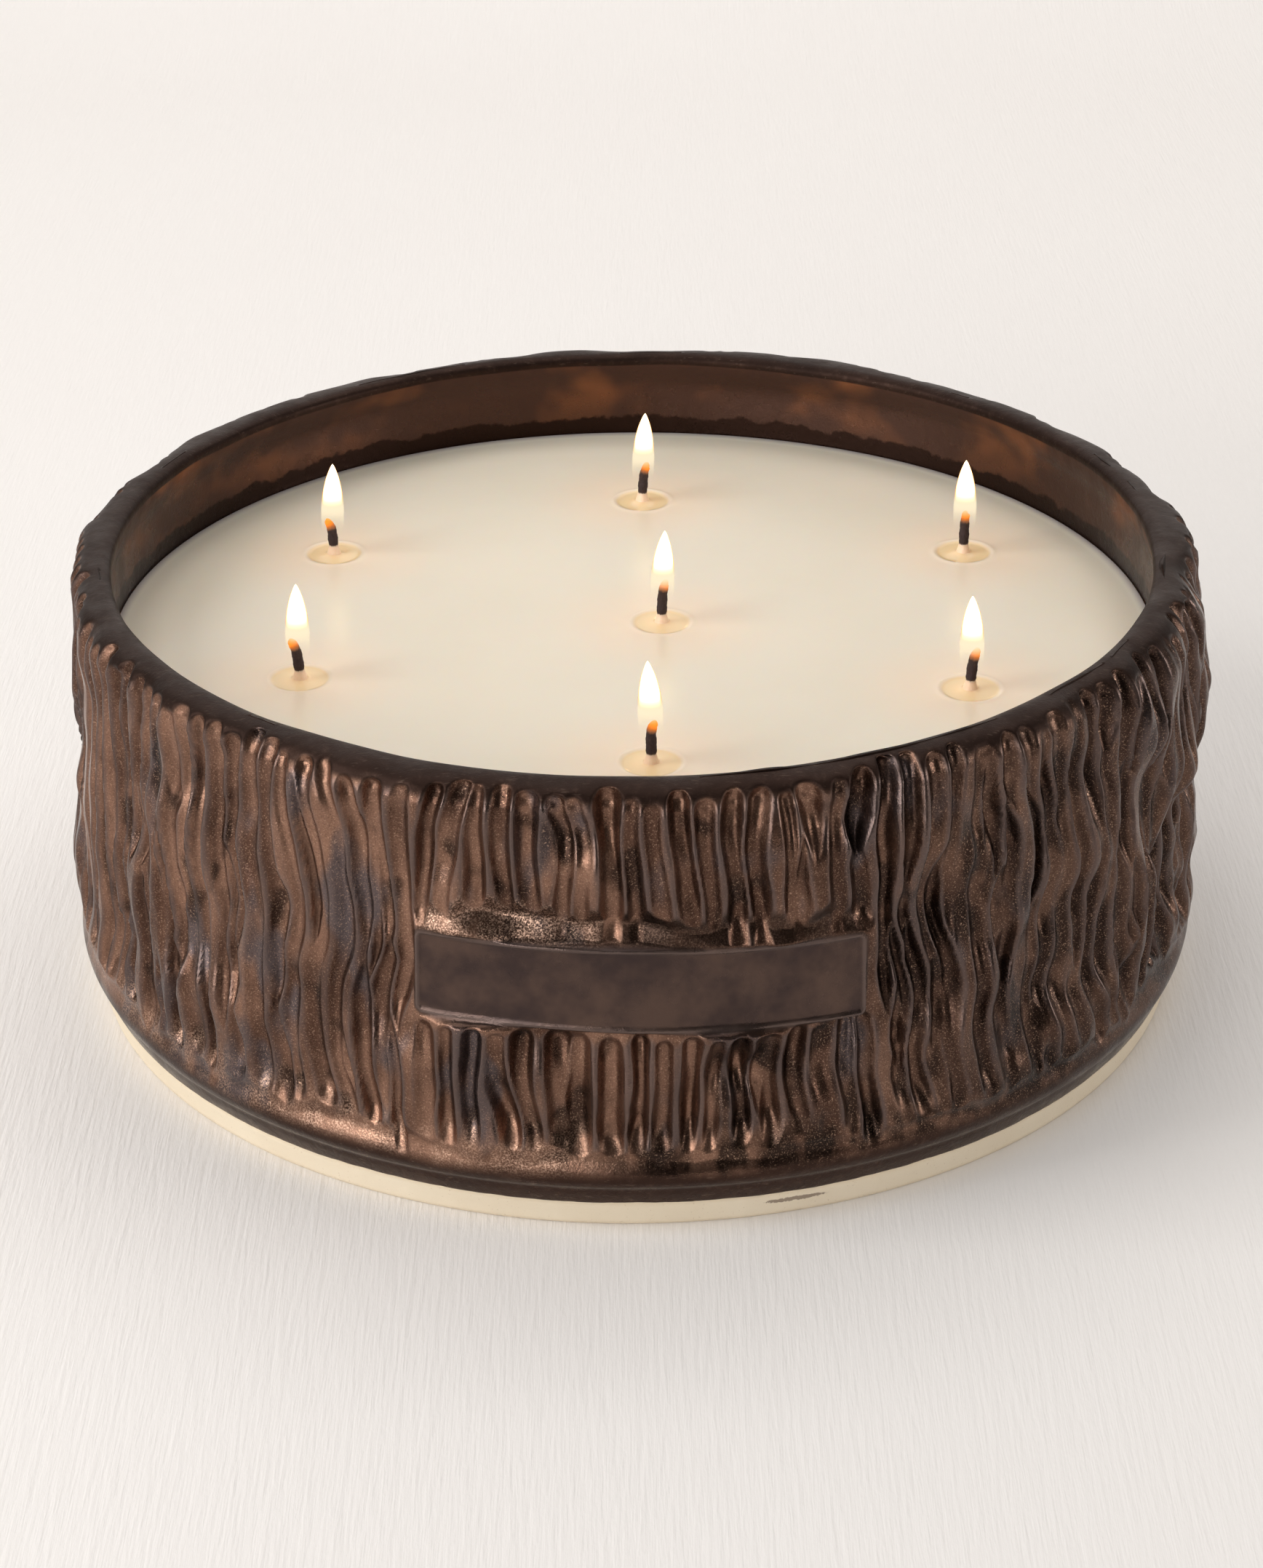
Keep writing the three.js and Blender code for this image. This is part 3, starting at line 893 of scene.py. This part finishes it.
def bronze_glaze():
    """The glaze, told apart by where the relief is cut: bark, band, plate, ledge, lip and wall."""
    n = Nodes("bronze_glaze")
    crest, crease, cut = n.attribute("crest"), n.attribute("crease"), n.attribute("cut")
    bark, plate, ledge = n.attribute("bark"), n.attribute("plate"), n.attribute("ledge")
    inside = n.attribute("inside")
    spot = n.axes()
    across, height = spot["X"], spot["Z"]

    # Bronze in the flutes, drifting between copper, brown and slate
    drift = n.noise(24, 3, 0.6, (1, 1, 0.5))
    bronze = n.mix(n.ramp(drift, 0.36, 0.64), rgb(84, 59, 47), rgb(138, 104, 86))
    slate = n.ramp(n.noise(15, 2, 0.5, (1, 1, 0.45)), 0.56, 0.68)
    bronze = n.mix(n.times(slate, 0.85), bronze, rgb(88, 80, 82))

    # The right side darker: painted shade, standing in for the shadowed floor and dim room that the right
    # side reflects
    bronze = n.mix(n.ramp(across, 0.0, 0.14, 0.0, 0.62), bronze, rgb(40, 31, 28))

    # Dark patches deep in the flutes, most of them on the right: partly glaze that fired darker, partly
    # painted shade and painted dark reflection
    side = n.ramp(across, -0.09, 0.06, 0.6, 0.47)
    burnt = n.minus(n.noise(13, 2, 0.5, (1, 1, 0.7)), side)
    burnt = n.times(n.ramp(burnt, -0.02, 0.1), n.ramp(cut, 0.3, 0.7))
    bronze = n.mix(n.times(burnt, 0.82), bronze, rgb(30, 18, 13))

    # The lower ends of the flutes, which tilt upwards: a painted highlight on the left, and a painted
    # near-black reflection right of the middle
    patches = n.ramp(n.noise(7, 2, 0.5, (1, 1, 0.6)), 0.36, 0.56)
    low_end = n.times(n.ramp(height, 0.036, 0.024), patches)
    painted_shade_side = n.times(n.ramp(across, -0.02, 0.005), n.ramp(across, 0.145, 0.115))
    bronze = n.mix(n.times(n.times(low_end, painted_shade_side), 0.85), bronze, rgb(22, 14, 10))
    # Speckle that breaks up the painted highlights, here and on the ledge
    sheen_speckle = n.ramp(n.noise(0.5, 2, 0.7), 0.42, 0.7)
    painted_highlight_side = n.times(n.ramp(across, -0.005, -0.025), n.times(low_end, sheen_speckle))
    bronze = n.mix(n.times(painted_highlight_side, 0.7), bronze, rgb(214, 176, 152))

    # Fine metallic speckle
    speckle = n.noise(0.45, 2, 0.7)
    glint = n.times(n.ramp(speckle, 0.54, 0.74), 0.5)
    bronze = n.mix(glint, bronze, rgb(212, 174, 148))
    pit = n.times(n.ramp(speckle, 0.46, 0.3), 0.4)
    bronze = n.mix(pit, bronze, rgb(34, 20, 14))

    # Creases darker, partly pooled glaze and partly painted shade, and grey-violet crests
    colour = n.mix(n.times(crease, 0.5), bronze, rgb(40, 25, 19))
    crest = n.times(crest, 0.78)
    colour = n.mix(crest, colour, rgb(96, 82, 78))

    # The plain parts: band and lip, with fine scratches, and the wall, darker below an old tide of wax
    plain = n.mix(n.noise(20, 4, 0.65), rgb(38, 25, 20), rgb(72, 50, 40))
    plain = n.mix(n.times(n.ramp(n.noise(2.5, 4, 0.7), 0.5, 0.75), 0.3), plain, rgb(104, 82, 70))
    scratch = n.ramp(n.noise(0.8, 2, 0.6, (0.2, 1, 1)), 0.62, 0.7)
    plain = n.mix(n.times(scratch, 0.18), plain, rgb(150, 128, 112))
    # Copper patches on the wall, most near the lip: painted glints of the flames' light
    painted_copper_glint = n.ramp(n.noise(26, 2, 0.5, (1, 1, 1.3)), 0.46, 0.7)
    painted_copper_glint = n.times(painted_copper_glint, n.ramp(height, 0.106, 0.124, 0.3, 1.0))
    wall = n.mix(n.times(painted_copper_glint, 0.8), rgb(76, 54, 46), rgb(140, 90, 60))
    tide = n.math("MULTIPLY_ADD", n.noise(11, 4, 0.65), 0.008, 0.104)
    tide = n.ramp(n.minus(height, tide), 0.0006, -0.0006)
    wall = n.mix(tide, wall, rgb(44, 27, 20))
    plain = n.mix(n.ramp(height, 0.116, 0.126, 0.0, 0.45), plain, rgb(26, 17, 14))
    plain = n.mix(inside, plain, wall)
    colour = n.mix(bark, plain, colour)

    # The plate, and the speckled ledge above it
    face = n.mix(n.ramp(n.noise(14, 3, 0.6), 0.3, 0.7), rgb(62, 50, 48), rgb(88, 70, 62))
    face = n.mix(crest, face, rgb(112, 96, 90))
    colour = n.mix(plate, colour, face)
    # The ledge tilts upwards: a painted reflection, bright speckle on its left and near-black on its right
    ledge_lit_share = n.ramp(across, 0.0, -0.02, 0.12, 1.0)
    painted_ledge_reflection = n.mix(n.times(sheen_speckle, ledge_lit_share), rgb(34, 22, 16), rgb(212, 176, 154))
    colour = n.mix(n.times(ledge, 0.68), colour, painted_ledge_reflection)

    # Bare clay below the wavering lower edge of the glaze
    waver = n.math("MULTIPLY_ADD", n.noise(14, 3, 0.6), 0.0022, (BASE_TOP - 0.35) * MM)
    bare = n.ramp(n.minus(height, waver), 0.00015, -0.0001)
    colour = n.mix(bare, colour, rgb(232, 217, 192))

    roughness = n.ramp(n.noise(9, 3, 0.6), 0.3, 0.7, 0.23, 0.37)
    lip = n.times(n.minus(1.0, bark), n.ramp(height, 0.12, 0.126))
    roughness = n.plus(roughness, n.times(lip, 0.2))
    roughness = n.math("MAXIMUM", roughness, n.times(bare, 0.85))
    metal = n.times(n.minus(1.0, bare), 0.86)
    normal = n.bump(speckle, 0.06)
    normal = n.bump(n.noise(3.0, 3, 0.6), 0.14, normal)
    return n.principled(
        {"Base Color": colour, "Metallic": metal, "Roughness": roughness, "Normal": normal, "IOR": 1.5}
    )


def bare_clay():
    """Fired cream clay with rusty specks."""
    n = Nodes("bare_clay")
    tone = n.noise(18, 4, 0.6)
    colour = n.mix(tone, rgb(228, 212, 186), rgb(240, 228, 206))
    speck = n.ramp(n.noise(0.7, 2, 0.6), 0.66, 0.74)
    colour = n.mix(n.times(speck, 0.35), colour, rgb(170, 140, 108))

    # A smear of glaze under the right part of the plate: a flat ellipse with a ragged edge
    spot = n.axes()
    along = n.math("MULTIPLY_ADD", spot["X"], 130, -5.5)
    up = n.math("MULTIPLY_ADD", spot["Z"], 1500, -6.9)
    reach = n.plus(n.times(along, along), n.times(up, up))
    reach = n.minus(reach, n.times(n.noise(1.1, 3, 0.7), 3.4))
    smear = n.times(n.ramp(reach, -0.35, -0.9), n.ramp(spot["Y"], -0.1, -0.12))
    colour = n.mix(n.times(smear, 0.7), colour, rgb(96, 70, 56))
    normal = n.bump(n.noise(0.5, 3, 0.6), 0.05)
    return n.principled({"Base Color": colour, "Roughness": 0.85, "Normal": normal})


def wax():
    """Cream wax: painted warm flame light near the flames, painted shade towards the wall, and melted and
    clear in each dish.
    """
    n = Nodes("wax")
    near = n.attribute("wick_distance")
    wall = n.attribute("wall_distance")
    tone = n.noise(45, 3, 0.5)
    colour = n.mix(tone, rgb(232, 221, 200), rgb(238, 228, 210))
    # A painted warm pool of flame light round each wick
    glow = n.ramp(near, 40, 9)
    colour = n.mix(n.times(glow, 0.5), colour, rgb(247, 218, 190))
    # Painted shade towards the wall, and a painted grey-violet reflection and shade in the last few
    # millimetres
    colour = n.mix(n.ramp(wall, 14, 0, 0.0, 0.3), colour, rgb(196, 184, 168))
    colour = n.mix(n.ramp(wall, 2.6, 0.2, 0.0, 0.7), colour, rgb(150, 134, 136))
    pool = n.ramp(near, 8.8, 7.6)
    colour = n.mix(n.times(pool, 0.75), colour, rgb(242, 212, 158))
    roughness = n.ramp(pool, 0, 1, 0.27, 0.06)
    normal = n.bump(n.noise(9, 3, 0.5), 0.05)
    return n.principled(
        {
            "Base Color": colour,
            "Roughness": roughness,
            "Subsurface Weight": 0.35,
            "Subsurface Radius": (0.012, 0.007, 0.004),
            "Subsurface Scale": 1.0,
            # A painted glow: flame light shining through the wax near each wick
            "Emission Color": rgb(255, 206, 150),
            "Emission Strength": n.ramp(near, 9, 1.6, 0.0, 0.13),
            "IOR": 1.44,
            "Normal": normal,
        }
    )


def wick_material():
    """Cotton soaked with wax up to a ragged line, charred above it, and glowing at the tip."""
    n = Nodes("wick")
    burnt, tip = n.attribute("burnt"), n.attribute("from_tip")
    fibre = n.noise(0.5, 3, 0.7, (1, 1, 0.4))
    char = n.mix(fibre, rgb(20, 13, 14), rgb(74, 54, 54))
    soaked = n.mix(fibre, rgb(232, 198, 174), rgb(252, 230, 204))
    jag = n.plus(burnt, n.times(fibre, 0.8))
    colour = n.mix(n.ramp(jag, 3.0, 3.5), soaked, char)
    ember = n.ramp(n.plus(tip, n.times(fibre, 1.6)), 4.4, 2.6)
    heat = n.mix(n.ramp(tip, 3.2, 0.6), rgb(140, 58, 22), rgb(244, 142, 44))
    colour = n.mix(ember, colour, heat)
    # A painted glow: flame light shining through the soaked cotton
    painted_soaked_glow = n.ramp(jag, 3.4, 2.0, 0.0, 0.16)
    normal = n.bump(fibre, 0.12)
    return n.principled(
        {
            "Base Color": colour,
            "Roughness": n.ramp(burnt, 2.8, 3.3, 0.3, 0.8),
            "Emission Color": n.mix(ember, rgb(255, 190, 124), heat),
            "Emission Strength": n.plus(n.times(ember, 0.5), painted_soaked_glow),
            "Normal": normal,
        }
    )


def flame_material():
    """Glowing gas: white-hot above, clear round the wick, with a soft orange edge."""
    n = Nodes("flame")
    fall = n.attribute("fall")
    facing = n.node("LayerWeight", {"Blend": 0.5}).outputs["Facing"]
    far_side = n.node("NewGeometry").outputs["Backfacing"]
    body = n.ramp(facing, 0.92, 0.45)

    # The near wall is clear round the wick's tip, so that the ember shows. The far wall fades out below it.
    near = n.ramp(fall, 17.6, 13.0)
    far = n.ramp(fall, 24.0, 14.0)
    presence = n.math("MULTIPLY_ADD", far_side, n.minus(far, near), near)
    presence = n.times(body, presence)

    # It is brightest in the middle, well above the wick
    hot = n.math("POWER", n.ramp(fall, 13.4, 7.2), 1.5)
    strength = n.ramp(facing, 0.85, 0.25, 1.3, 6.0)
    strength = n.math("MULTIPLY_ADD", n.minus(strength, 1.05), hot, 1.05)
    colour = n.mix(n.ramp(facing, 0.8, 0.35), rgb(255, 178, 98), rgb(255, 228, 180))
    colour = n.mix(n.ramp(fall, 13.6, 10.5), rgb(255, 237, 202), colour)
    glow = n.node("Emission", {"Color": colour, "Strength": strength}).outputs[0]
    clear = n.node("BsdfTransparent").outputs[0]
    made = n.node("MixShader", {"Fac": presence})
    n.put(made.inputs[1], clear)
    n.put(made.inputs[2], glow)
    return n.finish(made.outputs[0])


def tinplate():
    """Bright tin with the fine lines of its rolling."""
    n = Nodes("tinplate")
    grain = n.noise(0.3, 2, 0.6, (1, 0.1, 1))
    colour = n.mix(grain, rgb(176, 178, 182), rgb(206, 208, 212))
    return n.principled(
        {"Base Color": colour, "Metallic": 1.0, "Roughness": 0.32, "Normal": n.bump(grain, 0.01)}
    )


def foam():
    """White foam with small closed cells."""
    n = Nodes("foam")
    cells = n.node("TexVoronoi", {"Vector": n.place(), "Scale": 1 / (0.5 * MM)}).outputs["Distance"]
    colour = n.mix(cells, rgb(240, 240, 234), rgb(222, 222, 214))
    return n.principled({"Base Color": colour, "Roughness": 0.9, "Normal": n.bump(cells, 0.06)})


def paper():
    """Pale paper with fine ridges that run down the backdrop and out along the floor."""
    n = Nodes("paper")
    lines = n.noise(1.5, 2, 0.55, (1, 0.07, 0.07))
    broad = n.noise(5, 2, 0.5, (1, 0.12, 0.12))
    grain = n.noise(1.2, 3, 0.6, (1, 0.4, 0.4))
    height = n.plus(n.times(lines, 0.7), n.times(broad, 0.4))
    height = n.math("MULTIPLY_ADD", grain, 0.2, height)
    colour = n.mix(n.noise(300, 2, 0.5), rgb(243, 239, 236), rgb(246, 243, 240))
    return n.principled({"Base Color": colour, "Roughness": 0.95, "Normal": n.bump(height, 0.4)})


# The set


def sweep():
    """A paper sweep: the floor, a soft bend and the backdrop in one sheet."""
    front = -1500.0
    bend_start = 900.0
    bend_radius = 500.0
    top = 2200.0
    half = 1800.0
    bend = np.linspace(0, math.pi / 2, 24)
    ys = np.concatenate([[front], bend_start + bend_radius * np.sin(bend), [bend_start + bend_radius]])
    zs = np.concatenate([[0], bend_radius * (1 - np.cos(bend)), [top]])
    left = np.column_stack([np.full(len(ys), -half), ys, zs])
    right = np.column_stack([np.full(len(ys), half), ys, zs])
    count = len(ys)
    i = np.arange(count - 1)
    faces = np.stack([i, count + i, count + i + 1, i + 1], -1)
    piece = add_mesh("paper_sweep", np.concatenate([left, right]), [faces], paper())


def area_light(name, place, target, size, watts, colour):
    """A soft box at a place, turned to a target, both in metres."""
    data = bpy.data.lights.new(name, "AREA")
    data.shape = "RECTANGLE"
    data.size, data.size_y = size
    data.energy = watts
    data.color = colour
    lamp = bpy.data.objects.new(name, data)
    lamp.location = place
    lamp.rotation_euler = (Vector(target) - Vector(place)).to_track_quat("-Z", "Y").to_euler()
    bpy.context.scene.collection.objects.link(lamp)


def lights():
    """Plain soft studio light, a little warm, and a dim room round it."""

    # Each light's name, place, target, size, watts and colour
    area_light("overhead", (0.1, 0.22, 2.1), (0.1, 0.22, 0), (2.6, 2.2), 22.5, (1.0, 0.985, 0.97))
    area_light("key", (-1.4, -0.38, 1.15), (0, 0, 0.05), (0.8, 0.8), 11.0, (1.0, 0.985, 0.965))
    area_light("front", (-1.16, -1.39, 0.62), (0, 0, 0.05), (1.9, 0.6), 19.5, (1.0, 0.98, 0.96))
    area_light("right", (1.42, -0.3, 0.42), (0, 0, 0.05), (0.8, 0.3), 5.6, (1.0, 0.97, 0.94))
    area_light("backdrop", (0.1, 0.75, 1.5), (0.1, 1.4, 0.35), (2.0, 0.5), 3.8, (1.0, 0.985, 0.97))
    world = bpy.data.worlds.new("room")
    world.use_nodes = True
    background = world.node_tree.nodes["Background"]
    background.inputs["Color"].default_value = (1.0, 0.94, 0.89, 1)
    background.inputs["Strength"].default_value = 0.06
    bpy.context.scene.world = world
    bpy.context.scene.view_settings.view_transform = "Standard"


def camera():
    """The photograph's camera, as solved from the bowl's circles. Its place is in metres, and its sensor and
    lens are in millimetres."""
    pitch, yaw, roll = math.radians(27.125), math.radians(-0.0467), math.radians(-0.429)
    ahead = Vector((math.sin(yaw) * math.cos(pitch), math.cos(yaw) * math.cos(pitch), -math.sin(pitch)))
    right = Vector((math.cos(yaw), -math.sin(yaw), 0))
    up = right.cross(ahead)
    rolled = math.cos(roll) * right + math.sin(roll) * up
    upright = math.cos(roll) * up - math.sin(roll) * right
    data = bpy.data.cameras.new("camera")
    data.sensor_fit = "VERTICAL"
    data.sensor_height = 36
    data.lens = 81.62
    place = (0, -0.95194, 0.53681)
    eye = bpy.data.objects.new("camera", data)
    turned = Matrix((rolled, upright, -ahead)).transposed().to_4x4()
    eye.matrix_world = Matrix.Translation(place) @ turned
    bpy.context.scene.collection.objects.link(eye)
    bpy.context.scene.camera = eye


def dress(prefix, material):
    """Gives a finish to the CAD pieces that lie unseen inside the candle."""
    for place in PLACES:
        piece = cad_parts[prefix + place]
        piece.data.materials.clear()
        piece.data.materials.append(material)


MATERIALS = {"wick": wick_material(), "flame": flame_material()}

camera()
bowl_shell()
clay_foot()
wax_block()
for seed, place in enumerate(PLACES):
    wick_cord(place, seed)
    flame_drop(place)
dress("wick_sustainer_", tinplate())
dress("foam_pad_", foam())
sweep()
lights()
